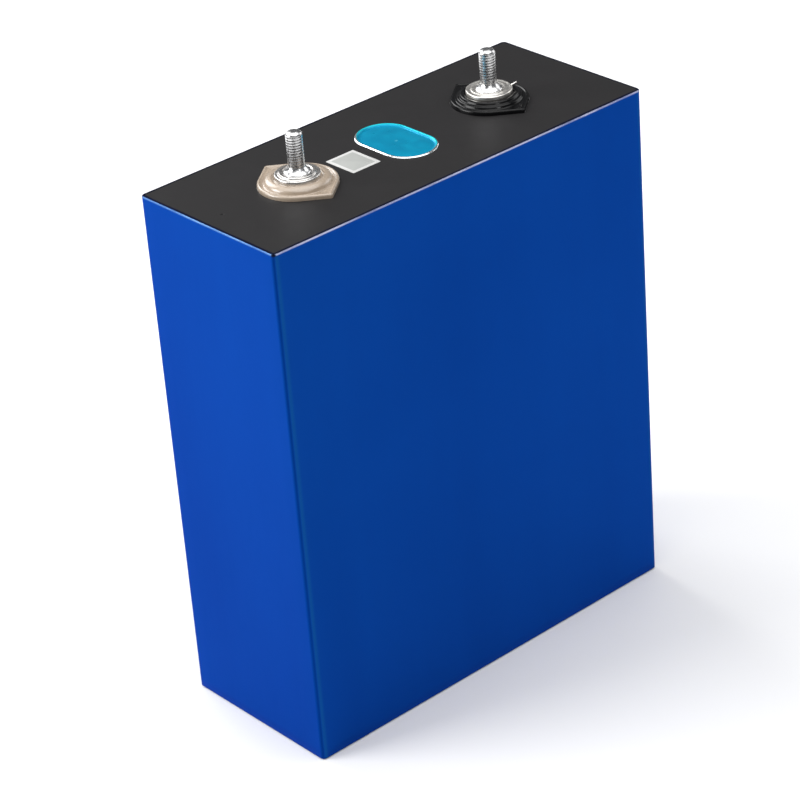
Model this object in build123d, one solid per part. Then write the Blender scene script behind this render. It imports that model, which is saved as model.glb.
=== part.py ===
from build123d import *
import os
from math import acos, cos, sin

# Prismatic lithium iron phosphate cell in a blue film wrap, with two welded M6 studs on its lid.
# Millimetres. Z is up, X runs along the wide face from the positive to the negative terminal,
# Y runs through the thickness. The origin is the centre of the footprint at the underside.

# ---- driving dimensions: outer envelope ----
CELL_WIDTH = 173.9          # along X, over the wrap
CELL_THICKNESS = 71.7       # along Y, over the wrap
BODY_HEIGHT = 204.6         # underside to the face of the black top sheet
CORNER_RADIUS = 1.8         # vertical edges, over the wrap
TERMINAL_OFFSET = 45.5      # each stud from the cell's centre, so the pitch is 91
TERMINAL_TOP = 209.6        # contact face of both terminals
STUD_LENGTH = 15.0          # free length above the contact face

# ---- skins ----
FILM = 0.2                  # blue wrap
FILM_LIP = 1.2              # how far the wrap folds over the top edge, from its outer face
BOTTOM_SHEET = 0.3
BOTTOM_SHEET_INSET = 2.5
TOP_SHEET = 0.2
SHEET_GAP = 0.2             # between the black sheet's cut-outs and what stands in them

# ---- can and lid ----
CAN_WALL = 0.8
CAN_FLOOR = 1.5
LID = 3.0
TERMINAL_HOLE_R = 6.5
FILL_X = 70.0
FILL_HOLE_R = 1.6
FILL_CAP_R = 4.0
FILL_CAP_THICKNESS = 0.8

# ---- vent, long axis along Y ----
VENT_SIZE = (21.2, 34.2)    # outside of the frame, X by Y
VENT_FILM_SIZE = (19.2, 32.2)
VENT_DISC_SIZE = (17.0, 30.0)
VENT_OPENING = (14.0, 27.0)
VENT_DEPTH = 1.2            # of the frame's seat in the lid
VENT_RISE = 0.3             # of the frame above the black sheet

# ---- label ----
LABEL_SIZE = (12.7, 14.8)
LABEL_PLACE = (-21.4, -1.3)
LABEL_THICKNESS = 0.1

# ---- terminal insulators: round plate with two pointed ears along Y ----
PLATE_R = 14.3
PLATE_TIP = 18.25
PLATE_RISE = 1.6            # above the black sheet
PLATE_TIP_RADIUS = 0.6
PLATE_LIP = 0.35            # raised edge of the plate
PLATE_LIP_WIDTH = 0.8
DIMPLE_R = 0.65
DIMPLE_OFFSET = 13.6
DIMPLE_DEPTH = 0.7
POSITIVE_BOSS_R = (12.0, 9.6)    # foot and top
NEGATIVE_BOSS_R = (12.2, 10.3)
BOSS_RISE = 3.4             # above the black sheet

# ---- terminal metal ----
RIVET_R = 5.0
RIVET_HEAD_R = 9.0
RIVET_HEAD = 1.0
RIVET_TOP_COVER = 1.2       # disc metal left above the rivet
POSITIVE_DISC_R = (8.1, 6.6)     # flange and face
POSITIVE_FLANGE_TOP = 4.3   # above the black sheet
NEGATIVE_DISC_R = 8.5
DISC_SEAT = 1.6             # how far each disc sits down into its boss
STUD_R = 3.0
STUD_END_RADIUS = 1.3
STUD_WELD_R = 4.1
STUD_WELD_HEIGHT = 1.1
STUD_WELD_DEPTH = 0.5       # how far the weld foot is sunk into the disc

# ---- inside the can ----
LOWER_INSULATOR = 2.6
CONNECTOR = 1.5
CONNECTOR_SPAN = (10.0, 58.0)    # from the centre outwards along X
CONNECTOR_WIDTH = 40.0
INNER_FILM = 0.2
INNER_FILM_TOP = 193.4
SUPPORT_PLATE = 1.0
ROLL_THICKNESS = 34.0
ROLL_WIDTH = 168.5
ROLL_TOP = 190.4
TAPE = 0.3
TAPE_BANDS = ((38.0, 63.0), (126.0, 151.0))
TAB_SPAN = (12.0, 33.0)
TAB_STACK = 1.4

# ---- levels ----
FILM_FLOOR = BOTTOM_SHEET
CAN_BOTTOM = BOTTOM_SHEET + FILM
LID_TOP = BODY_HEIGHT - TOP_SHEET
LID_BOTTOM = LID_TOP - LID
LOWER_BOTTOM = LID_BOTTOM - LOWER_INSULATOR
CONNECTOR_BOTTOM = LOWER_BOTTOM - CONNECTOR
CAN_INSIDE_FLOOR = CAN_BOTTOM + CAN_FLOOR
CAN_SIZE = (CELL_WIDTH - 2 * FILM, CELL_THICKNESS - 2 * FILM)
INSIDE_SIZE = (CAN_SIZE[0] - 2 * CAN_WALL, CAN_SIZE[1] - 2 * CAN_WALL)
INSIDE_RADIUS = CORNER_RADIUS - FILM - CAN_WALL


def block(size, radius, z0, z1, x=0.0, y=0.0):
    """Upright block with rounded vertical edges."""
    outline = Pos(x, y, z0) * RectangleRounded(size[0], size[1], radius)
    return extrude(outline, amount=z1 - z0)


def plain_block(x0, x1, y0, y1, z0, z1):
    """Square-edged block between two corners."""
    middle = Pos((x0 + x1) / 2, (y0 + y1) / 2, (z0 + z1) / 2)
    return middle * Box(x1 - x0, y1 - y0, z1 - z0)


def post(radius, z0, z1, x=0.0, y=0.0):
    """Upright cylinder."""
    return Pos(x, y, (z0 + z1) / 2) * Cylinder(radius, z1 - z0)


def cone(radius0, radius1, z0, z1, x=0.0):
    """Upright tapered post."""
    return Pos(x, 0, (z0 + z1) / 2) * Cone(radius0, radius1, z1 - z0)


def obround(size, z0, z1):
    """Upright obround with its long axis along Y."""
    outline = Pos(0, 0, z0) * Rot(0, 0, 90) * SlotOverall(size[1], size[0])
    return extrude(outline, amount=z1 - z0)


def ear_plate(x, z0, z1, inset=0.0):
    """Round plate with two tangent ears that come to a point along Y, inset all round."""
    radius = PLATE_R - inset
    tip = PLATE_TIP - inset * PLATE_TIP / PLATE_R
    spread = acos(radius / tip)
    side, reach = radius * sin(spread), radius * cos(spread)
    outline = Circle(radius)
    for way in (1, -1):
        corners = ((0, 0), (side, way * reach), (0, way * tip), (-side, way * reach))
        outline += make_face(Polyline(*corners, close=True))
    plate = extrude(Pos(x, 0, z0) * outline, amount=z1 - z0)
    tips = plate.edges().filter_by(Axis.Z).filter_by(lambda e: abs(e.center().Y) > tip - 0.01)
    return fillet(tips, PLATE_TIP_RADIUS)


def insulator(x, boss_radii, disc_radius, dimple_way):
    """Moulded insulator: eared plate with a raised edge, a tapered boss and a seat for the disc."""
    plate_top = BODY_HEIGHT + PLATE_RISE
    boss_top = BODY_HEIGHT + BOSS_RISE
    body = ear_plate(x, LID_TOP, plate_top)
    body -= ear_plate(x, plate_top - PLATE_LIP, plate_top, PLATE_LIP_WIDTH)
    body += cone(boss_radii[0], boss_radii[1], plate_top - PLATE_LIP, boss_top, x)
    body -= post(disc_radius, boss_top - DISC_SEAT, boss_top, x)
    body -= post(RIVET_R, LID_TOP, boss_top, x)
    floor = plate_top - PLATE_LIP
    body -= post(DIMPLE_R, floor - DIMPLE_DEPTH, floor, x, dimple_way * DIMPLE_OFFSET)
    return body


def rivet(x):
    """Pole with a head under the connector, through the lid and up into the terminal disc."""
    head = post(RIVET_HEAD_R, CONNECTOR_BOTTOM - RIVET_HEAD, CONNECTOR_BOTTOM, x)
    return head + post(RIVET_R, CONNECTOR_BOTTOM, TERMINAL_TOP - RIVET_TOP_COVER, x)


def disc_bores(x):
    """What a terminal disc leaves free for its rivet below and the stud's weld foot above."""
    weld_seat = post(STUD_WELD_R, TERMINAL_TOP - STUD_WELD_DEPTH, TERMINAL_TOP, x)
    return weld_seat + post(RIVET_R, LID_TOP, TERMINAL_TOP - RIVET_TOP_COVER, x)


def positive_disc(x):
    """Stepped aluminium terminal: a flange in the boss and a smaller raised face."""
    flange_top = BODY_HEIGHT + POSITIVE_FLANGE_TOP
    flange = post(POSITIVE_DISC_R[0], BODY_HEIGHT + BOSS_RISE - DISC_SEAT, flange_top, x)
    flange = chamfer(flange.edges().group_by(Axis.Z)[-1], 0.4)
    face = post(POSITIVE_DISC_R[1], flange_top, TERMINAL_TOP, x)
    face = chamfer(face.edges().group_by(Axis.Z)[-1], 0.3)
    return flange + face - disc_bores(x)


def negative_disc(x):
    """Plain round nickel-plated terminal, standing above its boss."""
    disc = post(NEGATIVE_DISC_R, BODY_HEIGHT + BOSS_RISE - DISC_SEAT, TERMINAL_TOP, x)
    disc = chamfer(disc.edges().group_by(Axis.Z)[-1], 0.4)
    return disc - disc_bores(x)


def stud(x):
    """M6 stud at its major diameter, with a weld foot sunk in the disc and a weld collar."""
    shank = post(STUD_R, TERMINAL_TOP, TERMINAL_TOP + STUD_LENGTH, x)
    shank = fillet(shank.edges().group_by(Axis.Z)[-1], STUD_END_RADIUS)
    foot = post(STUD_WELD_R, TERMINAL_TOP - STUD_WELD_DEPTH, TERMINAL_TOP, x)
    collar = cone(STUD_WELD_R, STUD_R, TERMINAL_TOP, TERMINAL_TOP + STUD_WELD_HEIGHT, x)
    return shank + foot + collar


def seal_ring(x):
    """Rubber bushing that fills the lid's hole round the rivet."""
    return post(TERMINAL_HOLE_R, LID_BOTTOM, LID_TOP, x) - post(RIVET_R, LID_BOTTOM, LID_TOP, x)


def lower_insulator(way):
    """Plastic tray under one half of the lid, with the rivet's hole."""
    length = INSIDE_SIZE[0] / 2 - VENT_SIZE[0] / 2 - 1.5
    middle = way * (VENT_SIZE[0] / 2 + length / 2)
    tray = block((length, INSIDE_SIZE[1] - 4.0), 2.0, LOWER_BOTTOM, LID_BOTTOM, middle)
    tray -= post(RIVET_R, LOWER_BOTTOM, LID_BOTTOM, way * TERMINAL_OFFSET)
    if way * FILL_X > 0:
        tray -= post(FILL_CAP_R, LOWER_BOTTOM, LID_BOTTOM, FILL_X)
    return tray


def connector(way):
    """Flat conductor between a rivet and its tab stacks."""
    length = CONNECTOR_SPAN[1] - CONNECTOR_SPAN[0]
    middle = way * (CONNECTOR_SPAN[0] + CONNECTOR_SPAN[1]) / 2
    plate = block((length, CONNECTOR_WIDTH), 3.0, CONNECTOR_BOTTOM, LOWER_BOTTOM, middle)
    return plate - post(RIVET_R, CONNECTOR_BOTTOM, LOWER_BOTTOM, way * TERMINAL_OFFSET)


def tab_stack(way):
    """Foil tabs of both rolls: each rises from its roll and folds in under the connector."""
    x0, x1 = sorted((way * TAB_SPAN[0], way * TAB_SPAN[1]))
    fold_bottom = CONNECTOR_BOTTOM - TAB_STACK
    stacks = []
    for side in (1, -1):
        y_outer = side * (ROLL_THICKNESS / 2 + TAB_STACK / 2)
        y_inner = side * (ROLL_THICKNESS / 2 - TAB_STACK / 2)
        y_end = side * 4.0
        rise = plain_block(x0, x1, *sorted((y_inner, y_outer)), ROLL_TOP, CONNECTOR_BOTTOM)
        fold = plain_block(x0, x1, *sorted((y_end, y_outer)), fold_bottom, CONNECTOR_BOTTOM)
        stacks.append(rise + fold)
    return stacks


def jelly_roll(side):
    """Flattened wound electrode roll, its winding axis upright."""
    outline = Pos(0, side * ROLL_THICKNESS / 2, CAN_INSIDE_FLOOR + INNER_FILM + SUPPORT_PLATE)
    height = ROLL_TOP - CAN_INSIDE_FLOOR - INNER_FILM - SUPPORT_PLATE
    return extrude(outline * SlotOverall(ROLL_WIDTH, ROLL_THICKNESS), amount=height)


def tape_bands():
    """Two tape loops round both rolls together."""
    size = (ROLL_WIDTH, 2 * ROLL_THICKNESS)
    outer = (size[0] + 2 * TAPE, size[1] + 2 * TAPE)
    radius = ROLL_THICKNESS / 2
    return [block(outer, radius + TAPE, z0, z1) - block(size, radius, z0, z1)
            for z0, z1 in TAPE_BANDS]


def wrap_film():
    """Blue film: four walls, folded ends underneath and a narrow lip over the top edge."""
    size = (CELL_WIDTH, CELL_THICKNESS)
    lip_size = (CELL_WIDTH - 2 * FILM_LIP, CELL_THICKNESS - 2 * FILM_LIP)
    film = block(size, CORNER_RADIUS, FILM_FLOOR, BODY_HEIGHT)
    film -= block(CAN_SIZE, CORNER_RADIUS - FILM, CAN_BOTTOM, LID_TOP)
    return film - block(lip_size, CORNER_RADIUS - FILM_LIP, LID_TOP, BODY_HEIGHT)


def top_sheet():
    """Black sheet over the lid, cut out for the vent and both insulators."""
    size = (CELL_WIDTH - 2 * FILM_LIP, CELL_THICKNESS - 2 * FILM_LIP)
    sheet = block(size, CORNER_RADIUS - FILM_LIP, LID_TOP, BODY_HEIGHT)
    cut_size = (VENT_SIZE[0] + 2 * SHEET_GAP, VENT_SIZE[1] + 2 * SHEET_GAP)
    sheet -= obround(cut_size, LID_TOP, BODY_HEIGHT)
    for way in (1, -1):
        sheet -= ear_plate(way * TERMINAL_OFFSET, LID_TOP, BODY_HEIGHT, -SHEET_GAP)
    return sheet


def can():
    """Deep-drawn aluminium can, open at the top."""
    body = block(CAN_SIZE, CORNER_RADIUS - FILM, CAN_BOTTOM, LID_TOP)
    return body - block(INSIDE_SIZE, INSIDE_RADIUS, CAN_INSIDE_FLOOR, LID_TOP)


def lid():
    """Aluminium lid welded into the can's mouth, with seats for vent, seals and fill plug."""
    plate = block(INSIDE_SIZE, INSIDE_RADIUS, LID_BOTTOM, LID_TOP)
    plate -= obround(VENT_SIZE, LID_TOP - VENT_DEPTH, LID_TOP)
    plate -= obround(VENT_OPENING, LID_BOTTOM, LID_TOP)
    for way in (1, -1):
        plate -= post(TERMINAL_HOLE_R, LID_BOTTOM, LID_TOP, way * TERMINAL_OFFSET)
    plate -= post(FILL_HOLE_R, LID_BOTTOM, LID_TOP, FILL_X)
    return plate - post(FILL_CAP_R, LID_TOP - FILL_CAP_THICKNESS, LID_TOP, FILL_X)


VENT_SEAT = LID_TOP - VENT_DEPTH        # underside of the frame
DISC_SEAT_Z = VENT_SEAT + 0.5           # rupture disc's step
FILM_SEAT_Z = DISC_SEAT_Z + 0.5         # protective film's step
RUPTURE_DISC = 0.25
VENT_FILM = 0.1


def vent_frame():
    """Stepped obround frame that carries the rupture disc and the film over it."""
    top = BODY_HEIGHT + VENT_RISE
    frame = obround(VENT_SIZE, VENT_SEAT, top)
    frame -= obround(VENT_OPENING, VENT_SEAT, top)
    frame -= obround(VENT_DISC_SIZE, DISC_SEAT_Z, top)
    return frame - obround(VENT_FILM_SIZE, FILM_SEAT_Z, top)


def rupture_disc():
    """Thin vent foil with a scored ring that opens under pressure."""
    disc = obround(VENT_DISC_SIZE, DISC_SEAT_Z, DISC_SEAT_Z + RUPTURE_DISC)
    outer = (VENT_OPENING[0] - 2.0, VENT_OPENING[1] - 2.0)
    inner = (outer[0] - 0.8, outer[1] - 0.8)
    z0 = DISC_SEAT_Z + RUPTURE_DISC / 2
    return disc - (obround(outer, z0, z0 + RUPTURE_DISC) - obround(inner, z0, z0 + RUPTURE_DISC))


def inner_film():
    """Insulating bag between the rolls and the can, open at the top."""
    radius = INSIDE_RADIUS
    size = (INSIDE_SIZE[0] - 2 * INNER_FILM, INSIDE_SIZE[1] - 2 * INNER_FILM)
    bag = block(INSIDE_SIZE, radius, CAN_INSIDE_FLOOR, INNER_FILM_TOP)
    return bag - block(size, radius - INNER_FILM, CAN_INSIDE_FLOOR + INNER_FILM, INNER_FILM_TOP)


def support_plate():
    """Plastic plate under both rolls."""
    z0 = CAN_INSIDE_FLOOR + INNER_FILM
    return block((ROLL_WIDTH - 4.0, 2 * ROLL_THICKNESS - 4.0), 4.0, z0, z0 + SUPPORT_PLATE)


def fill_plug():
    """Rubber plug in the electrolyte filling hole."""
    return post(FILL_HOLE_R, LID_BOTTOM, LID_TOP - FILL_CAP_THICKNESS, FILL_X)


def fill_cap():
    """Aluminium disc welded over the plug, flush with the lid."""
    return post(FILL_CAP_R, LID_TOP - FILL_CAP_THICKNESS, LID_TOP, FILL_X)


bottom_size = (CELL_WIDTH - 2 * BOTTOM_SHEET_INSET, CELL_THICKNESS - 2 * BOTTOM_SHEET_INSET)
label_top = BODY_HEIGHT + LABEL_THICKNESS

nodes = {
    "blue_wrap_film": wrap_film(),
    "bottom_insulation_sheet": block(bottom_size, 3.0, 0.0, BOTTOM_SHEET),
    "can": can(),
    "lid_plate": lid(),
    "top_sheet": top_sheet(),
    "label_sticker": block(LABEL_SIZE, 0.4, BODY_HEIGHT, label_top, *LABEL_PLACE),
    "vent_frame": vent_frame(),
    "vent_rupture_disc": rupture_disc(),
    "vent_film": obround(VENT_FILM_SIZE, FILM_SEAT_Z, FILM_SEAT_Z + VENT_FILM),
    "positive_insulator": insulator(-TERMINAL_OFFSET, POSITIVE_BOSS_R, POSITIVE_DISC_R[0], -1),
    "negative_insulator": insulator(TERMINAL_OFFSET, NEGATIVE_BOSS_R, NEGATIVE_DISC_R, 1),
    "positive_terminal_disc": positive_disc(-TERMINAL_OFFSET),
    "negative_terminal_disc": negative_disc(TERMINAL_OFFSET),
    "jelly_roll_front": jelly_roll(-1),
    "jelly_roll_rear": jelly_roll(1),
    "core_binding_tape": tape_bands(),
    "inner_insulation_film": inner_film(),
    "bottom_support_plate": support_plate(),
    "fill_plug": fill_plug(),
    "fill_cap": fill_cap(),
}
for pole, way in (("positive", -1), ("negative", 1)):
    nodes[pole + "_stud"] = stud(way * TERMINAL_OFFSET)
    nodes[pole + "_rivet"] = rivet(way * TERMINAL_OFFSET)
    nodes[pole + "_seal_ring"] = seal_ring(way * TERMINAL_OFFSET)
    nodes[pole + "_lower_insulator"] = lower_insulator(way)
    nodes[pole + "_connector_plate"] = connector(way)
    nodes[pole + "_tab_stack"] = tab_stack(way)

os.makedirs("parts", exist_ok=True)
for name, shape in nodes.items():
    if isinstance(shape, list):
        shape = Compound(children=shape)
    export_step(shape, "parts/" + name + ".step")
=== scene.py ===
from math import acos, atan2, cos, exp, pi, radians, sin, sqrt

import bmesh
import bpy
from mathutils import Matrix, Vector, noise


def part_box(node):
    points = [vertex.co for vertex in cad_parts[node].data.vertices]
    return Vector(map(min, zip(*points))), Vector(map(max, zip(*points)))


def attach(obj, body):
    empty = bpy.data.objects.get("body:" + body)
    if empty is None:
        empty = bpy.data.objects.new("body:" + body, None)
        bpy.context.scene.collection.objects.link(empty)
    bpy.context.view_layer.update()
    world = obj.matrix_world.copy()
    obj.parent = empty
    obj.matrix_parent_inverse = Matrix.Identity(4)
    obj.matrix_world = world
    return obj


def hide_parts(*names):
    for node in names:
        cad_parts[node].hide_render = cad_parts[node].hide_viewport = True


# Prismatic battery cell: blue film wrap, black top sheet, oval vent with a cyan film, and two
# welded M6 studs on eared insulators, tan at the positive end (-X) and black at the negative end.
# Shapes are written in millimetres and scaled to metres when a mesh is made. Their heights are
# measured from the black sheet's face, and insets from a piece's own outline.

MM = 0.001
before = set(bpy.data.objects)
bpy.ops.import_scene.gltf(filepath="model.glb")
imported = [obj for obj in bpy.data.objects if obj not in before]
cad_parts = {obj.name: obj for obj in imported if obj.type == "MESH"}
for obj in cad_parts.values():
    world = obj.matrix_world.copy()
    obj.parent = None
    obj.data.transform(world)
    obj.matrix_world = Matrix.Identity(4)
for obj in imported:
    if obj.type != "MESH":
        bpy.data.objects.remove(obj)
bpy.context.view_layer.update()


def node_box(node):
    """Lowest and highest corner of a CAD node, in millimetres."""
    low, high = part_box(node)
    return Vector(low) / MM, Vector(high) / MM


# ---- levels and centres, from the CAD ----
WRAP_LOW, WRAP_HIGH = node_box("blue_wrap_film")
VENT_LOW, VENT_HIGH = node_box("vent_frame")
LABEL_LOW, LABEL_HIGH = node_box("label_sticker")
LABEL_MIDDLE = (LABEL_LOW + LABEL_HIGH) / 2
LABEL_HALF = (LABEL_HIGH - LABEL_LOW) / 2
FACE = node_box("top_sheet")[1].z       # face of the black sheet
CONTACT = node_box("negative_terminal_disc")[1].z
STUD_TOP = node_box("positive_stud")[1].z


def node_centre_x(node):
    low, high = node_box(node)
    return (low.x + high.x) / 2


POSITIVE_X = node_centre_x("positive_stud")
NEGATIVE_X = node_centre_x("negative_stud")

# ---- outlines ----
LOOP = 240                  # points round an insulator's outline
EAR_R = 14.3                # round part of the insulators' outline
EAR_TIP = 18.1              # from the centre to an ear's tip, before its rounding
EAR_TIP_RADIUS = 0.7
TIP_CROWDING = 0.9          # draws outline points towards the ears' tips
VENT_ARC = 32               # steps round each end of the vent


def turn(i):
    """Angle from +Y of outline point i, crowded near both tips."""
    t = 2 * pi * i / LOOP
    return t - TIP_CROWDING * sin(2 * t) / 2


def circle(x, radius, height):
    """Circle whose points match an eared outline's."""
    return [(x + radius * sin(turn(i)), radius * cos(turn(i)), FACE + height)
            for i in range(LOOP)]


def ear_radius(angle, inset):
    """Distance from the centre to the eared outline, in a direction measured from a tip."""
    radius = EAR_R - inset
    tip = EAR_TIP - inset * EAR_TIP / EAR_R
    spread = acos(radius / tip)
    away = abs(atan2(sin(angle), cos(angle)))
    away = min(away, pi - away)
    rounding = tip - EAR_TIP_RADIUS / cos(spread) + EAR_TIP_RADIUS
    centre = rounding - EAR_TIP_RADIUS
    blend = atan2(EAR_TIP_RADIUS * sin(spread), centre + EAR_TIP_RADIUS * cos(spread))
    if away < blend:
        return centre * cos(away) + sqrt(EAR_TIP_RADIUS ** 2 - (centre * sin(away)) ** 2)
    if away < spread:
        return radius / cos(spread - away)
    return radius


def ears(x, inset, height):
    """Eared outline: a circle with two tangent ears along Y, inset all round."""
    loop = []
    for i in range(LOOP):
        reach = ear_radius(turn(i), inset)
        loop.append((x + reach * sin(turn(i)), reach * cos(turn(i)), FACE + height))
    return loop


def oval(inset, height):
    """Vent outline: straight along Y with round ends, inset all round."""
    radius = (VENT_HIGH.x - VENT_LOW.x) / 2 - inset
    straight = (VENT_HIGH.y - VENT_LOW.y - VENT_HIGH.x + VENT_LOW.x) / 2
    loop = []
    for end in (1, -1):
        for i in range(VENT_ARC + 1):
            angle = pi * (i / VENT_ARC - 0.5)
            loop.append((end * sin(angle) * radius, end * (straight + cos(angle) * radius),
                         FACE + height))
    return loop


def rounded_rectangle(half_x, half_y, radius, z, corner=10):
    """Rounded rectangle as a closed loop of four arcs, the first at +X +Y."""
    loop = []
    quarter = ((1, 1, 0), (-1, 1, pi / 2), (-1, -1, pi), (1, -1, 3 * pi / 2))
    for sx, sy, start in quarter:
        for i in range(corner + 1):
            angle = start + pi / 2 * i / corner
            loop.append((sx * (half_x - radius) + radius * cos(angle),
                         sy * (half_y - radius) + radius * sin(angle), z))
    return loop


# ---- mesh making ----
def loft(rings, close_first=True, close_last=True):
    """Skin over matching closed loops, with its ends closed."""
    count = len(rings[0])
    verts = [point for ring in rings for point in ring]
    faces = []
    for r in range(len(rings) - 1):
        for i in range(count):
            j = (i + 1) % count
            faces.append((r * count + i, r * count + j, (r + 1) * count + j, (r + 1) * count + i))
    if close_first:
        faces.append(tuple(range(count)))
    if close_last:
        faces.append(tuple((len(rings) - 1) * count + i for i in range(count)))
    return verts, faces


def join(*shapes):
    """Several (verts, faces) as one."""
    verts, faces = [], []
    for more_verts, more_faces in shapes:
        start = len(verts)
        verts.extend(more_verts)
        faces.extend(tuple(start + i for i in face) for face in more_faces)
    return verts, faces


def place_piece(name, mesh, material, node):
    """Puts a mesh in the scene to stand for a CAD node."""
    mesh.materials.append(material)
    obj = bpy.data.objects.new(name, mesh)
    bpy.context.scene.collection.objects.link(obj)
    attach(obj, "root")
    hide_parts(node)


def piece(name, shape, material, node, crease=38.0):
    """Piece from (verts, faces) in mm. Edges that bend more than the crease angle stay sharp."""
    verts, faces = shape
    mesh = bpy.data.meshes.new(name)
    bm = bmesh.new()
    made = [bm.verts.new(Vector(v) * MM) for v in verts]
    for face in faces:
        bm.faces.new([made[i] for i in face])
    bmesh.ops.recalc_face_normals(bm, faces=bm.faces)
    for face in bm.faces:
        face.smooth = True
    for edge in bm.edges:
        if len(edge.link_faces) == 2 and edge.calc_face_angle(0.0) > radians(crease):
            edge.smooth = False
    bm.to_mesh(mesh)
    bm.free()
    place_piece(name, mesh, material, node)


# ---- materials ----
class Look:
    """A node material with a Principled shader and short helpers for its nodes."""

    def __init__(self, name, **settings):
        self.material = bpy.data.materials.new(name)
        self.material.use_nodes = True
        self.tree = self.material.node_tree
        self.shader = self.tree.nodes["Principled BSDF"]
        for socket, value in settings.items():
            self.shader.inputs[socket.replace("_", " ")].default_value = value
        self.place = self.add("ShaderNodeTexCoord").outputs["Object"]
        self.bumps = None       # normal of the bumps added so far

    def add(self, kind, **properties):
        node = self.tree.nodes.new(kind)
        for key, value in properties.items():
            setattr(node, key, value)
        return node

    def link(self, source, target):
        self.tree.links.new(source, target)

    def stretched(self, scale, centre=(0, 0, 0)):
        """Object coordinates measured from a centre in mm and scaled on each axis."""
        mapping = self.add("ShaderNodeMapping")
        mapping.inputs["Location"].default_value = [-c * MM * s for c, s in zip(centre, scale)]
        mapping.inputs["Scale"].default_value = scale
        self.link(self.place, mapping.inputs["Vector"])
        return mapping.outputs["Vector"]

    def noise(self, scale, detail=4.0, rough=0.5, distortion=0.0, vector=None):
        node = self.add("ShaderNodeTexNoise")
        node.inputs["Scale"].default_value = scale
        node.inputs["Detail"].default_value = detail
        node.inputs["Roughness"].default_value = rough
        node.inputs["Distortion"].default_value = distortion
        self.link(vector or self.place, node.inputs["Vector"])
        return node.outputs["Fac"]

    def ramp(self, source, low, high, value_low=0.0, value_high=1.0):
        """A value mapped linearly from one range to another, and held at the ends."""
        node = self.add("ShaderNodeMapRange")
        self.link(source, node.inputs["Value"])
        for key, value in (("From Min", low), ("From Max", high),
                           ("To Min", value_low), ("To Max", value_high)):
            node.inputs[key].default_value = value
        return node.outputs["Result"]

    def maths(self, operation, first, second=None):
        node = self.add("ShaderNodeMath", operation=operation)
        for socket, value in zip(node.inputs, (first, second)):
            if value is None:
                continue
            if isinstance(value, (int, float)):
                socket.default_value = value
            else:
                self.link(value, socket)
        return node.outputs[0]

    def mix(self, factor, first, second):
        """Colour mix. Each colour is a tuple or a socket."""
        node = self.add("ShaderNodeMix", data_type="RGBA")
        self.link(factor, node.inputs["Factor"])
        for name, value in (("A", first), ("B", second)):
            socket = [s for s in node.inputs if s.name == name and s.type == "RGBA"][0]
            if isinstance(value, tuple):
                socket.default_value = (*value, 1.0)
            else:
                self.link(value, socket)
        return [s for s in node.outputs if s.type == "RGBA"][0]

    def axis(self, name):
        """One object coordinate, in metres."""
        node = self.add("ShaderNodeSeparateXYZ")
        self.link(self.place, node.inputs[0])
        return node.outputs[name]

    def colour(self, socket):
        self.link(socket, self.shader.inputs["Base Color"])

    def roughness(self, socket):
        self.link(socket, self.shader.inputs["Roughness"])

    def bump(self, height, depth_mm, strength=1.0):
        """Adds a bump of about that depth, on top of earlier ones."""
        node = self.add("ShaderNodeBump")
        node.inputs["Strength"].default_value = strength
        node.inputs["Distance"].default_value = depth_mm * MM
        self.link(height, node.inputs["Height"])
        if self.bumps is not None:
            self.link(self.bumps, node.inputs["Normal"])
        self.bumps = node.outputs["Normal"]
        self.link(self.bumps, self.shader.inputs["Normal"])


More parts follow.
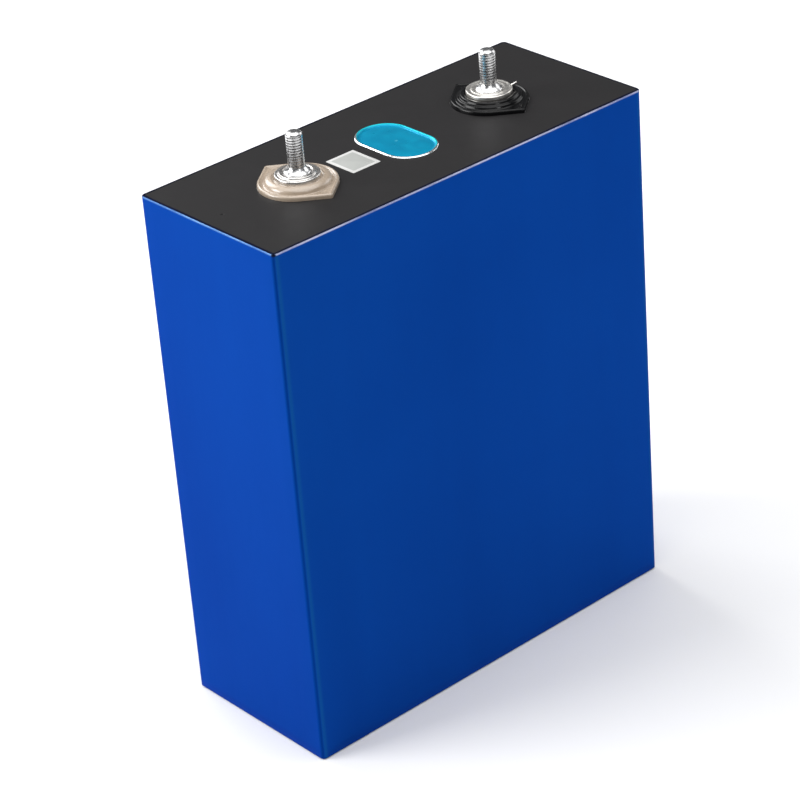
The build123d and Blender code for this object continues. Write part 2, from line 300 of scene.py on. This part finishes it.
def blue_film_look():
    """Blue film: a painted highlight along the folded top edge, near-black on its lip and just
    under it and at the top of each corner, and down each vertical corner a painted shade line
    beside a painted highlight.
    """
    look = Look("blue_film", Specular_IOR_Level=0.01, Metallic=0.35,
                Specular_Tint=(0.04, 0.30, 1.0, 1.0))
    from_end = look.maths("SUBTRACT", WRAP_HIGH.x * MM, look.maths("ABSOLUTE", look.axis("X")))
    from_front = look.maths("SUBTRACT", WRAP_HIGH.y * MM, look.maths("ABSOLUTE", look.axis("Y")))
    drawn = look.noise(34.0, 3.0, vector=look.stretched((1.0, 1.0, 0.1)))
    shade = look.maths("ADD", look.ramp(look.noise(9.0, 2.0), 0.3, 0.7, 0.0, 0.6),
                       look.ramp(drawn, 0.3, 0.7, 0.0, 0.4))
    body = look.mix(shade, (0.0026, 0.046, 0.280), (0.0036, 0.058, 0.332))
    # Down each vertical corner: a painted shade line (crease), with a painted highlight just past
    # it.
    past_corner = look.maths("SUBTRACT", from_end, from_front)
    crease = look.maths("MULTIPLY", look.ramp(past_corner, -1.5 * MM, -0.4 * MM),
                        look.ramp(past_corner, 0.2 * MM, 0.6 * MM, 1.0, 0.0))
    corner_highlight = look.maths("MULTIPLY", look.ramp(past_corner, 0.5 * MM, 1.0 * MM),
                         look.ramp(past_corner, 1.8 * MM, 2.7 * MM, 0.7, 0.0))
    body = look.mix(crease, body, (0.0008, 0.032, 0.210))
    body = look.mix(corner_highlight, body, (0.0060, 0.082, 0.290))
    height = look.axis("Z")
    # Painted highlight along the fold over the top edge, dimmer on the end walls.
    fold = look.maths("MULTIPLY", look.ramp(height, (FACE - 0.85) * MM, (FACE - 0.4) * MM),
                      look.ramp(look.noise(55.0, 3.0), 0.35, 0.62, 0.45, 1.0))
    pale = look.mix(look.ramp(from_end, 0.5 * MM, 1.5 * MM),
                    (0.17, 0.33, 0.62), (0.62, 0.64, 0.86))
    edged = look.mix(fold, body, pale)
    # Near-black on the lip and just under it, and at the top of each corner.
    near_corner = look.ramp(look.maths("MAXIMUM", from_end, from_front),
                            0.9 * MM, 1.5 * MM, 1.0, 0.0)
    dark_corner_top = look.maths("MULTIPLY", near_corner,
                     look.ramp(height, (FACE - 1.3) * MM, (FACE - 0.8) * MM))
    over = look.ramp(height, (FACE - 0.16) * MM, (FACE - 0.02) * MM)
    look.colour(look.mix(look.maths("MAXIMUM", over, dark_corner_top), edged, (0.008, 0.010, 0.022)))
    fine = look.noise(420.0, 3.0, vector=look.stretched((1.0, 1.0, 0.25)))
    look.roughness(look.ramp(fine, 0.3, 0.7, 0.28, 0.38))
    look.bump(look.noise(14.0, 2.0, distortion=0.4), 0.9, 0.20)
    look.bump(look.noise(1500.0, 2.0), 0.004, 0.12)
    return look.material


PIT = (-78.0, 1.5, 0.0)     # small pit pressed in the black sheet


def black_sheet_look():
    """Matt black sheet with a fine grain and one small pit near the positive end, darkened with
    painted shade.
    """
    look = Look("black_sheet", Specular_IOR_Level=0.16)
    broad = look.noise(30.0, 4.0)
    grain = look.noise(2600.0, 3.0, 0.6)
    black = look.mix(broad, (0.0148, 0.0142, 0.0148), (0.0180, 0.0172, 0.0178))
    from_pit = look.add("ShaderNodeVectorMath", operation="LENGTH")
    look.link(look.stretched((1.0, 1.0, 0.0), PIT), from_pit.inputs[0])
    pit = look.ramp(from_pit.outputs["Value"], 0.35 * MM, 0.7 * MM, 1.0, 0.0)
    # Painted shade: the pit is coloured darker than the sheet round it.
    look.colour(look.mix(pit, black, (0.002, 0.002, 0.002)))
    look.bump(look.maths("SUBTRACT", 1.0, pit), 0.15)
    look.roughness(look.ramp(look.noise(160.0, 4.0), 0.3, 0.7, 0.46, 0.51))
    look.bump(grain, 0.03, 0.35)
    look.bump(look.noise(28.0, 1.0), 0.12, 0.03)
    return look.material


def moulded_look(name, light, dark, rough, gloss, coat, grain):
    """Moulded plastic with a fine eroded grain, faint flow marks and a gloss coat."""
    look = Look(name, Specular_IOR_Level=gloss, Coat_Weight=coat, Coat_Roughness=0.28,
                Coat_IOR=1.65)
    flow = look.noise(60.0, 3.0, 0.5, 1.2)
    look.colour(look.mix(look.ramp(flow, 0.3, 0.7), dark, light))
    look.roughness(look.ramp(look.noise(700.0, 3.0), 0.3, 0.7, rough - 0.05, rough + 0.07))
    look.bump(look.noise(1900.0, 3.0), 0.015, grain)
    look.bump(look.noise(130.0, 2.0), 0.06, grain)
    return look.material


RING_SCALE = pi / 20 / (0.5 * MM)       # wave scale of the machining rings, 0.5 mm apart


def metal_look(name, light, dark, rough, centre_x=None):
    """Bare metal with machining rings round a terminal's axis, or a drawn grain."""
    look = Look(name, Metallic=1.0)
    stain = look.noise(240.0, 4.0, 0.6, 0.5)
    look.colour(look.mix(look.ramp(stain, 0.35, 0.7), light, dark))
    look.roughness(look.ramp(look.noise(900.0, 4.0), 0.25, 0.75, rough - 0.07, rough + 0.1))
    if centre_x is None:
        look.bump(look.noise(800.0, 3.0, vector=look.stretched((1.0, 1.0, 0.1))), 0.02, 0.4)
    else:
        rings = look.add("ShaderNodeTexWave", wave_type="RINGS", rings_direction="Z")
        rings.inputs["Scale"].default_value = RING_SCALE
        rings.inputs["Distortion"].default_value = 1.5
        rings.inputs["Detail"].default_value = 2.0
        look.link(look.stretched((1.0, 1.0, 1.0), (centre_x, 0, 0)), rings.inputs["Vector"])
        look.bump(rings.outputs["Fac"], 0.02, 0.2)
        look.bump(look.noise(1400.0, 3.0), 0.015, 0.2)
    return look.material


def vent_film_look():
    """Cyan film: a painted highlight where it climbs the rim, and a pale dot in the middle."""
    look = Look("cyan_film", Metallic=0.35, Specular_IOR_Level=0.2, Coat_Weight=0.12,
                Coat_Roughness=0.2, Specular_Tint=(0.25, 0.85, 1.0, 1.0))
    broad = look.noise(120.0, 2.0, 0.4, 0.6)
    body = look.mix(look.ramp(broad, 0.3, 0.7), (0.001, 0.235, 0.410), (0.002, 0.300, 0.490))
    # Painted highlight: paler and greener where the film climbs the rim.
    climb_highlight = look.ramp(look.axis("Z"), (FACE + 0.06) * MM, (FACE + 0.26) * MM, 0.0, 0.85)
    body = look.mix(climb_highlight, body, (0.010, 0.520, 0.600))
    dot = look.add("ShaderNodeVectorMath", operation="LENGTH")
    look.link(look.stretched((1.0, 1.0, 0.0)), dot.inputs[0])
    pale = look.ramp(dot.outputs["Value"], 0.35 * MM, 0.75 * MM, 0.55, 0.0)
    look.colour(look.mix(pale, body, (0.10, 0.50, 0.66)))
    look.roughness(look.ramp(look.noise(300.0, 2.0), 0.3, 0.7, 0.26, 0.36))
    look.bump(look.noise(160.0, 2.0, 0.5, 0.8), 0.12, 0.35)
    return look.material


LABEL_BORDER = 1.35


def label_look():
    """Blank paper label: a grey panel inside a paler border."""
    look = Look("label_paper", Specular_IOR_Level=0.35)
    inside = None
    for name, middle, reach in (("X", LABEL_MIDDLE.x, LABEL_HALF.x),
                                ("Y", LABEL_MIDDLE.y, LABEL_HALF.y)):
        away = look.maths("ABSOLUTE", look.maths("SUBTRACT", look.axis(name), middle * MM))
        edge = (reach - LABEL_BORDER) * MM
        within = look.ramp(away, edge - 0.1 * MM, edge + 0.1 * MM, 1.0, 0.0)
        inside = within if inside is None else look.maths("MULTIPLY", inside, within)
    fibre = look.noise(1800.0, 4.0, 0.6)
    paper = look.mix(fibre, (0.53, 0.53, 0.52), (0.59, 0.59, 0.58))
    panel = look.mix(fibre, (0.345, 0.355, 0.340), (0.385, 0.395, 0.380))
    look.colour(look.mix(inside, paper, panel))
    look.roughness(look.ramp(fibre, 0.3, 0.7, 0.45, 0.6))
    look.bump(fibre, 0.01, 0.3)
    return look.material


def soft_look(name, light, dark, rough, scale=500.0):
    """Plain film, rubber or tape with a fine mottled surface."""
    look = Look(name)
    look.colour(look.mix(look.noise(scale, 4.0), dark, light))
    look.roughness(look.ramp(look.noise(scale / 3, 3.0), 0.3, 0.7, rough - 0.08, rough + 0.08))
    look.bump(look.noise(scale * 2, 3.0), 0.02, 0.3)
    return look.material


BLUE = blue_film_look()
BLACK_SHEET = black_sheet_look()
TAN = moulded_look("tan_plastic", (0.440, 0.350, 0.265), (0.360, 0.285, 0.215),
                   rough=0.28, gloss=0.5, coat=1.0, grain=0.12)
BLACK_PLASTIC = moulded_look("black_plastic", (0.005, 0.005, 0.0055), (0.003, 0.003, 0.0035),
                             rough=0.18, gloss=0.22, coat=0.0, grain=0.05)
VENT_METAL = metal_look("vent_aluminium", (0.93, 0.94, 0.95), (0.84, 0.86, 0.88), 0.22)
POSITIVE_METAL = metal_look("terminal_aluminium", (0.80, 0.79, 0.77), (0.62, 0.59, 0.56), 0.30,
                            POSITIVE_X)
NEGATIVE_METAL = metal_look("terminal_nickel", (0.89, 0.87, 0.83), (0.76, 0.73, 0.68), 0.34,
                            NEGATIVE_X)
STUD_METAL = metal_look("stud_steel", (0.78, 0.78, 0.78), (0.62, 0.62, 0.63), 0.24)
CYAN = vent_film_look()
LABEL = label_look()


# ---- blue wrap: walls, corner and fold radii, the lip over the top edge, and the overlap seam ----
FOLD = 0.45                 # radius of the fold over the top edge
LIP = 1.0                   # how far the lip reaches in from the wall
LIP_THICKNESS = 0.07
LIP_RISE = 0.05             # top of the lip above the black face
HALF_X = WRAP_HIGH.x
HALF_Y = WRAP_HIGH.y
CORNER = 1.8
SEAM_Y = 11.0               # free edge of the film's overlap, on the negative end's wall
SEAM_STEP = 0.12
FOLD_STEPS = 6
UNDER_STEPS = 5             # steps of the fold under the cell
WALL_STEPS = (24, 12, 24)   # on the rear, positive end's and front walls
SEAM_WALL = 3               # the negative end's wall, which has its own steps


def wrap_loop(inset, z, seam=1.0, ragged=0.0):
    """Outline of the wrap at one level, with the seam's share of its step and a ragged edge."""
    radius = max(CORNER - inset, 0.4)
    x, y = HALF_X - inset, HALF_Y - inset
    corners = rounded_rectangle(x, y, radius, z, 12)
    loop = []
    step = len(corners) // 4
    for quarter in range(4):
        arc = corners[quarter * step:(quarter + 1) * step]
        loop.extend(arc)
        start, end = Vector(arc[-1]), Vector(corners[((quarter + 1) * step) % len(corners)])
        if quarter == SEAM_WALL:
            seam_at = (SEAM_Y - start.y) / (end.y - start.y)
            stops = [s for s in (0.08, 0.2, 0.35, 0.5, 0.6, 0.72) if s < seam_at - 0.02]
            loop.extend(tuple(start.lerp(end, s)) for s in stops + [seam_at])
            for past, share in ((0.004, 1.0), (0.12, 0.7), (0.24, 0.2)):
                point = start.lerp(end, seam_at + past)
                point.x -= SEAM_STEP * seam * share
                loop.append(tuple(point))
        else:
            count = WALL_STEPS[quarter]
            loop.extend(tuple(start.lerp(end, i / count)) for i in range(1, count))
    if ragged:
        for i, point in enumerate(loop):
            v = Vector(point)
            shift = noise.noise(v * 0.11) * ragged + noise.noise(v * 0.6) * ragged * 0.35
            inward = Vector((-v.x / HALF_X if abs(v.x) > HALF_X - 4 else 0,
                             -v.y / HALF_Y if abs(v.y) > HALF_Y - 4 else 0, 0))
            loop[i] = tuple(v + inward * shift)
    return loop


def wrap_shape():
    """Wrap from the lip's inner edge, over the top fold, down the walls and under the cell."""
    top = FACE + LIP_RISE
    bottom = WRAP_LOW.z
    rings = [wrap_loop(LIP, top - LIP_THICKNESS, 0.0, 0.25), wrap_loop(LIP, top, 0.0, 0.25),
             wrap_loop(LIP * 0.72, top + 0.02, 0.0, 0.08)]
    for i in range(FOLD_STEPS + 1):
        angle = pi / 2 * i / FOLD_STEPS
        rings.append(wrap_loop(FOLD - FOLD * sin(angle), top - FOLD + FOLD * cos(angle),
                               i / FOLD_STEPS))
    for share in (0.02, 0.25, 0.5, 0.75, 0.98):
        rings.append(wrap_loop(0.0, top - FOLD - share * (top - 2 * FOLD - bottom)))
    for i in range(1, UNDER_STEPS + 1):
        angle = pi / 2 * i / UNDER_STEPS
        rings.append(wrap_loop(FOLD * (1 - cos(angle)), bottom + FOLD * (1 - sin(angle)),
                               1 - i / UNDER_STEPS))
    return loft(rings, close_first=False)


piece("wrap_film_skin", wrap_shape(), BLUE, "blue_wrap_film")

# ---- black sheet with its die-cut holes ----
SHEET_EDGE = 0.4            # how far in from the wall its edge lies, under the wrap's lip
SHEET_THICKNESS = 0.2
SHEET_ROUNDING = 0.03
HOLE_GAP = 0.12             # round each insulator
VENT_GAP = 0.1


def sheet_piece():
    """Flat sheet with holes and a fine rounded edge, made as a filled curve."""
    curve = bpy.data.curves.new("top_sheet_cut", "CURVE")
    curve.dimensions = "2D"
    curve.fill_mode = "BOTH"
    curve.extrude = (SHEET_THICKNESS / 2 - SHEET_ROUNDING) * MM
    curve.bevel_depth = SHEET_ROUNDING * MM
    curve.bevel_resolution = 1
    outer = rounded_rectangle(HALF_X - SHEET_EDGE, HALF_Y - SHEET_EDGE, CORNER - SHEET_EDGE, 0)
    loops = [outer, oval(-VENT_GAP, 0), ears(POSITIVE_X, -HOLE_GAP, 0),
             ears(NEGATIVE_X, -HOLE_GAP, 0)]
    for loop in loops:
        spline = curve.splines.new("POLY")
        spline.points.add(len(loop) - 1)
        for point, (x, y, _) in zip(spline.points, loop):
            point.co = (x * MM, y * MM, 0, 1)
        spline.use_cyclic_u = True
    maker = bpy.data.objects.new("top_sheet_cut", curve)
    bpy.context.scene.collection.objects.link(maker)
    depsgraph = bpy.context.evaluated_depsgraph_get()
    mesh = bpy.data.meshes.new_from_object(maker.evaluated_get(depsgraph))
    bpy.data.objects.remove(maker)
    mesh.transform(Matrix.Translation((0, 0, (FACE - SHEET_THICKNESS / 2) * MM)))
    mesh.name = "lid_sheet"
    mesh.materials.clear()
    place_piece("lid_sheet", mesh, BLACK_SHEET, "top_sheet")


sheet_piece()

# ---- label ----
LABEL_CORNER = 0.35


def label_loop(inset, height):
    """The label's outline at one level."""
    corners = rounded_rectangle(LABEL_HALF.x - inset, LABEL_HALF.y - inset, LABEL_CORNER,
                                FACE + height, 6)
    return [(x + LABEL_MIDDLE.x, y + LABEL_MIDDLE.y, z) for x, y, z in corners]


piece("blank_label", loft([label_loop(0, 0.01), label_loop(0, 0.07), label_loop(0.05, 0.1)]),
      LABEL, "label_sticker")

# ---- vent: bright frame and the cyan film dished into it ----
rim_profile = ((0.0, -1.3), (0.0, 0.02), (0.08, 0.08), (0.3, 0.2), (0.46, 0.28), (0.56, 0.3),
               (0.74, 0.3), (0.84, 0.26), (0.95, -0.2), (1.0, -0.5), (1.6, -0.6), (1.6, -1.3))
rim_rings = [oval(inset, height) for inset, height in rim_profile]
piece("vent_rim", loft(rim_rings + [rim_rings[0]], False, False), VENT_METAL, "vent_frame")


def film_height(inset):
    """Dish of the cyan film: it climbs the rim, dips inside it and swells towards the middle."""
    rim = 0.52 * exp(-((inset - 0.8) / 0.5) ** 2)
    swell = 0.30 * (1 - exp(-((inset - 1.0) / 2.6) ** 2))
    return -0.26 + rim + swell


def far_ring(inset, far_inset, far_height):
    """Ring of the film's border, which laps over the rim on the far side of the vent."""
    ring = []
    near_loop, far_loop = oval(inset, film_height(inset)), oval(far_inset, far_height)
    for near, far in zip(near_loop, far_loop):
        near, far = Vector(near), Vector(far)
        outward = (far - near).normalized()
        lap = min(1.0, max(0.0, 0.5 + 1.6 * (0.8 * outward.x + 0.6 * outward.y)))
        ring.append(tuple(near.lerp(far, lap)))
    return ring


FILM_INSETS = (0.96, 1.04, 1.13, 1.25, 1.45, 1.7, 2.0, 2.5, 3.0, 3.6, 4.3, 5.2, 6.2, 7.3, 8.4,
               9.4, 10.2)
FILM_WAVES = 0.05           # height of the film's slow unevenness
film_rings = [far_ring(0.84, 0.34, 0.30), far_ring(0.86, 0.46, 0.36), far_ring(0.90, 0.72, 0.37)]
for inset in FILM_INSETS:
    ring = oval(inset, film_height(inset))
    film_rings.append([(x, y, z + FILM_WAVES * noise.noise(Vector((x, y, 0)) * 0.22)
                        * min(1.0, inset - 0.9)) for x, y, z in ring])
piece("vent_seal_film", loft(film_rings, False, True), CYAN, "vent_film", 60)


# ---- eared insulators ----
def insulator_shape(x, boss, dimple_way):
    """Plate with a rounded raised rim, a flat floor, and a boss of (radius, height) steps."""
    rim = ((0.0, -0.2), (0.0, 0.7), (0.05, 1.0), (0.16, 1.25), (0.32, 1.43), (0.52, 1.55),
           (0.74, 1.6), (0.92, 1.57), (1.06, 1.46), (1.18, 1.33), (1.34, 1.25))
    rings = [ears(x, inset, height) for inset, height in rim]
    rings += [circle(x, radius, height) for radius, height in boss]
    return join(loft(rings), dimple(x, dimple_way * DIMPLE_Y))


TAN_BOSS = ((12.7, 1.25), (12.48, 1.12), (12.24, 1.08), (12.06, 1.18), (11.96, 1.42), (11.88, 1.72),
            (11.76, 2.04), (11.56, 2.36), (11.26, 2.64), (10.88, 2.88), (10.45, 3.06), (10.0, 3.18),
            (9.65, 3.25), (9.4, 3.28), (9.2, 3.24), (9.05, 3.06), (8.92, 2.78), (8.75, 2.62),
            (8.45, 2.56), (8.0, 2.5))
BLACK_BOSS = ((12.8, 1.25), (12.6, 1.26), (12.36, 1.33), (12.16, 1.5), (12.0, 1.8), (11.85, 2.1),
              (11.65, 2.3), (11.3, 2.38), (11.0, 2.42), (10.8, 2.6), (10.65, 2.95), (10.5, 3.2),
              (10.25, 3.36), (9.9, 3.4), (9.3, 3.38), (9.0, 3.25), (8.9, 2.9), (8.85, 2.2),
              (8.3, 2.1))
DIMPLE_Y = 13.6
DIMPLE_POINTS = 24


def dimple(x, y):
    """Small gate mark: a shallow cup with a soft lip, set just over the plate's floor."""
    profile = ((1.0, 1.24), (0.9, 1.28), (0.75, 1.31), (0.62, 1.29), (0.55, 1.2), (0.5, 1.0))
    rings = []
    for radius, height in profile:
        rings.append([(x + radius * cos(a), y + radius * sin(a), FACE + height)
                      for a in (2 * pi * i / DIMPLE_POINTS for i in range(DIMPLE_POINTS))])
    return loft(rings, False, True)


piece("insulator_tan", insulator_shape(POSITIVE_X, TAN_BOSS, -1), TAN,
      "positive_insulator")
piece("insulator_black", insulator_shape(NEGATIVE_X, BLACK_BOSS, 1), BLACK_PLASTIC,
      "negative_insulator")


# ---- terminal metal ----
DISC_POINTS = 192
WELD_LEVEL = 3.5            # only rings above this height carry weld scales


def ripple(angle, radius, count, twist, depth, seed):
    """Overlapping weld scales round a terminal."""
    wobble = 0.35 * noise.noise(Vector((cos(angle) * 3, sin(angle) * 3, seed)))
    phase = (count * angle / (2 * pi) + twist * radius + wobble) % 1.0
    return depth * (1 - (2 * phase - 1) ** 2)


def metal_rings(x, profile, welds):
    """Lathed rings. A weld is its inner radius, outer radius, number of scales, twist and depth."""
    rings = []
    for radius, height in profile:
        ring = []
        for i in range(DISC_POINTS):
            angle = 2 * pi * i / DISC_POINTS
            lift = 0.0
            for inner, outer, scales, twist, depth in welds:
                if inner < radius < outer and height > WELD_LEVEL:
                    edge = min(radius - inner, outer - radius) / (outer - inner) * 2
                    lift += ripple(angle, radius, scales, twist, depth, inner) * min(1, edge * 1.6)
            ring.append((x + radius * cos(angle), radius * sin(angle), FACE + height + lift))
        rings.append(ring)
    return rings


def fine_steps(profile, step=0.22):
    """The same profile with points no further apart than a step in radius."""
    fine = [profile[0]]
    for (r0, h0), (r1, h1) in zip(profile, profile[1:]):
        cuts = max(1, int(abs(r1 - r0) / step))
        fine.extend((r0 + (r1 - r0) * i / cuts, h0 + (h1 - h0) * i / cuts)
                    for i in range(1, cuts + 1))
    return fine


POSITIVE_PROFILE = ((8.1, 2.0), (8.1, 4.0), (8.02, 4.18), (7.85, 4.28), (7.65, 4.3), (7.0, 4.3),
                    (6.82, 4.34), (6.7, 4.44), (6.63, 4.6), (6.6, 4.78), (6.5, 4.9), (6.3, 4.95),
                    (5.5, 4.92), (5.3, 4.82), (5.15, 4.6), (4.9, 4.48), (4.6, 4.5), (4.4, 4.72),
                    (4.2, 4.95), (3.9, 5.0), (2.5, 5.0))
NEGATIVE_PROFILE = ((8.5, 2.0), (8.5, 4.25), (8.45, 4.48), (8.32, 4.64), (8.1, 4.71), (7.8, 4.67),
                    (7.4, 4.56), (7.05, 4.54), (6.7, 4.62), (6.4, 4.76), (6.1, 4.85), (5.8, 4.85),
                    (5.5, 4.76), (5.15, 4.68), (4.8, 4.74), (4.5, 4.88), (4.2, 5.0), (2.5, 5.0))

positive_rings = metal_rings(POSITIVE_X, fine_steps(POSITIVE_PROFILE),
                             ((4.2, 5.5, 16, 0.10, 0.08), (5.6, 6.5, 26, 0.2, 0.04)))
negative_rings = metal_rings(NEGATIVE_X, fine_steps(NEGATIVE_PROFILE),
                             ((4.0, 6.3, 15, 0.13, 0.035), (6.0, 8.3, 19, -0.16, 0.025)))
SPATTER_ANGLE = radians(-27.5)
SPATTER_POINTS = 14
SPATTER_PROFILE = ((8.3, 4.3, 0.5), (8.8, 4.5, 0.48), (9.3, 4.75, 0.36), (9.8, 5.0, 0.3),
                   (10.2, 5.15, 0.34), (10.45, 5.2, 0.24), (10.55, 5.22, 0.08))


def spatter():
    """Small drop of weld metal off the negative terminal's edge: (reach, height, radius) rings."""
    out = Vector((cos(SPATTER_ANGLE), sin(SPATTER_ANGLE), 0))
    side = Vector((-out.y, out.x, 0))
    rings = []
    for reach, height, radius in SPATTER_PROFILE:
        centre = Vector((NEGATIVE_X, 0, FACE + height)) + out * reach
        rings.append([tuple(centre + side * radius * cos(a) + Vector((0, 0, radius * sin(a))))
                      for a in (2 * pi * i / SPATTER_POINTS for i in range(SPATTER_POINTS))])
    return loft(rings)


piece("terminal_positive", loft(positive_rings), POSITIVE_METAL, "positive_terminal_disc",
      50)
piece("terminal_negative", join(loft(negative_rings), spatter()), NEGATIVE_METAL,
      "negative_terminal_disc", 50)

# ---- M6 studs, with a thread much shallower than a real one ----
THREAD_PITCH = 1.0
THREAD_RUNOUT = 1.2         # length over which the thread fades in at the foot
MAJOR_R = 3.0
MINOR_R = 2.97
STUD_POINTS = 48
LEVELS_PER_TURN = 12
END_ROUNDING = 1.3
FOOT_PROFILE = ((4.9, -0.25), (4.85, 0.06), (4.6, 0.2), (4.25, 0.42), (3.9, 0.72), (3.6, 1.06),
                (3.35, 1.42), (3.15, 1.75), (3.0, 2.05))    # weld at the foot
END_PROFILE = ((1.95, 0.22), (1.6, 0.13), (1.1, 0.05), (0.5, 0.0))  # radius, depth below the top


def thread_radius(z, angle, foot, top):
    """Radius of the thread, run out at the foot and rounded off at the end."""
    wave = (1 + cos(2 * pi * z / THREAD_PITCH - angle)) / 2
    runout = min(1.0, max(0.0, (z - foot) / THREAD_RUNOUT))
    radius = MAJOR_R - (MAJOR_R - MINOR_R) * wave * runout
    rise = min(1.0, max(0.0, z - (top - END_ROUNDING)) / END_ROUNDING)
    return min(radius, MAJOR_R - END_ROUNDING * (1 - sqrt(1 - rise ** 2)))


def stud_shape(x):
    """Stud from its uneven weld, up the thread, to its rounded end."""
    foot = CONTACT - 0.1
    thread_start = CONTACT + 2.1
    rings = []
    for radius, height in FOOT_PROFILE:
        ring = []
        for i in range(STUD_POINTS):
            angle = 2 * pi * i / STUD_POINTS
            swell = 0.12 * noise.noise(Vector((cos(angle) * 2.2, sin(angle) * 2.2, x)))
            grown = radius + (swell if radius > 3.05 else 0)
            ring.append((x + grown * cos(angle), grown * sin(angle), foot + height))
        rings.append(ring)
    end = STUD_TOP - 0.34
    levels = int((end - thread_start) / THREAD_PITCH * LEVELS_PER_TURN)
    for level in range(levels + 1):
        z = thread_start + (end - thread_start) * level / levels
        ring = []
        for i in range(STUD_POINTS):
            angle = 2 * pi * i / STUD_POINTS
            radius = thread_radius(z, angle, thread_start, STUD_TOP - 0.24)
            ring.append((x + radius * cos(angle), radius * sin(angle), z))
        rings.append(ring)
    for radius, drop in END_PROFILE:
        rings.append([(x + radius * cos(2 * pi * i / STUD_POINTS),
                       radius * sin(2 * pi * i / STUD_POINTS), STUD_TOP - drop)
                      for i in range(STUD_POINTS)])
    return loft(rings)


piece("stud_positive", stud_shape(POSITIVE_X), STUD_METAL, "positive_stud", 55)
piece("stud_negative", stud_shape(NEGATIVE_X), STUD_METAL, "negative_stud", 55)

# ---- CAD nodes that keep their shape ----
ALUMINIUM = metal_look("can_aluminium", (0.80, 0.81, 0.82), (0.66, 0.67, 0.69), 0.38)
COPPER = metal_look("copper", (0.80, 0.45, 0.30), (0.62, 0.31, 0.18), 0.34)
RUBBER = soft_look("seal_rubber", (0.035, 0.035, 0.036), (0.02, 0.02, 0.02), 0.6)
INNER_PLASTIC = soft_look("inner_plastic", (0.13, 0.13, 0.14), (0.09, 0.09, 0.1), 0.5)
ROLL = soft_look("roll", (0.11, 0.11, 0.115), (0.06, 0.06, 0.062), 0.65)
TAPE = soft_look("tape", (0.09, 0.42, 0.18), (0.06, 0.34, 0.13), 0.4)
BAG = soft_look("bag_film", (0.78, 0.80, 0.82), (0.70, 0.72, 0.75), 0.35)
UNDER = soft_look("clear_sheet", (0.60, 0.64, 0.68), (0.50, 0.55, 0.60), 0.4, 180.0)

KEPT_NODES = {
    "can": ALUMINIUM, "lid_plate": ALUMINIUM, "fill_cap": ALUMINIUM,
    "vent_rupture_disc": VENT_METAL, "positive_rivet": ALUMINIUM,
    "positive_connector_plate": ALUMINIUM, "positive_tab_stack": ALUMINIUM,
    "negative_rivet": COPPER, "negative_connector_plate": COPPER, "negative_tab_stack": COPPER,
    "positive_seal_ring": RUBBER, "negative_seal_ring": RUBBER, "fill_plug": RUBBER,
    "positive_lower_insulator": INNER_PLASTIC, "negative_lower_insulator": INNER_PLASTIC,
    "bottom_support_plate": INNER_PLASTIC, "jelly_roll_front": ROLL, "jelly_roll_rear": ROLL,
    "core_binding_tape": TAPE, "inner_insulation_film": BAG, "bottom_insulation_sheet": UNDER,
}
for node, material in KEPT_NODES.items():
    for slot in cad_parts[node].material_slots:
        slot.material = material

# ---- floor, light and camera, in metres ----
FLOOR = 8                   # half the floor's side
floor_mesh = bpy.data.meshes.new("floor")
floor_mesh.from_pydata([(-FLOOR, -FLOOR, 0), (FLOOR, -FLOOR, 0), (FLOOR, FLOOR, 0),
                        (-FLOOR, FLOOR, 0)], [], [(0, 1, 2, 3)])
floor = bpy.data.objects.new("floor", floor_mesh)
bpy.context.scene.collection.objects.link(floor)
floor_look = Look("floor_paper", Roughness=0.9, Specular_IOR_Level=0.1)
floor_look.colour(floor_look.mix(floor_look.noise(3.0, 2.0),
                                 (0.86, 0.86, 0.86), (0.88, 0.88, 0.88)))
floor_mesh.materials.append(floor_look.material)

world = bpy.data.worlds.new("studio")
world.use_nodes = True
background = world.node_tree.nodes["Background"]
background.inputs["Color"].default_value = (0.95, 0.97, 1.0, 1.0)
background.inputs["Strength"].default_value = 0.13
bpy.context.scene.world = world


def softbox(name, place, aim, size, power):
    """Square area light that looks at a point."""
    data = bpy.data.lights.new(name, "AREA")
    data.shape = "SQUARE"
    data.size = size
    data.energy = power
    obj = bpy.data.objects.new(name, data)
    bpy.context.scene.collection.objects.link(obj)
    obj.location = place
    obj.rotation_euler = (Vector(aim) - Vector(place)).to_track_quat("-Z", "Y").to_euler()


softbox("key", (-1.5, 0.9, 1.0), (0, 0, 0.1), 1.1, 31.0)
softbox("back", (0.0, 1.5, 1.15), (0, 0, 0.2), 1.0, 15.0)
softbox("glint", (-0.3, -1.9, 1.5), (0, 0, 0.2), 0.4, 4.0)
softbox("side", (1.8, -0.3, 0.9), (0, 0, 0.15), 1.2, 8.0)
softbox("overhead", (0.0, -0.2, 2.0), (0, 0, 0.1), 2.6, 46.0)

CAMERA_PLACE = Vector((-0.6281, -0.7423, 0.6426))
CAMERA_AIM = Vector((-0.0046, 0.0037, 0.1002))
CAMERA_ROLL = radians(4.54)
LENS_MM = 135.6
SENSOR_MM = 36.0
camera_data = bpy.data.cameras.new("camera")
camera_data.sensor_width = SENSOR_MM
camera_data.lens = LENS_MM
camera = bpy.data.objects.new("camera", camera_data)
bpy.context.scene.collection.objects.link(camera)
camera.location = CAMERA_PLACE
look_at = (CAMERA_AIM - CAMERA_PLACE).to_track_quat("-Z", "Y").to_matrix()
camera.rotation_euler = (look_at @ Matrix.Rotation(-CAMERA_ROLL, 3, "Z")).to_euler()
bpy.context.scene.camera = camera

bpy.context.scene.view_settings.view_transform = "Standard"
bpy.context.scene.view_settings.look = "None"
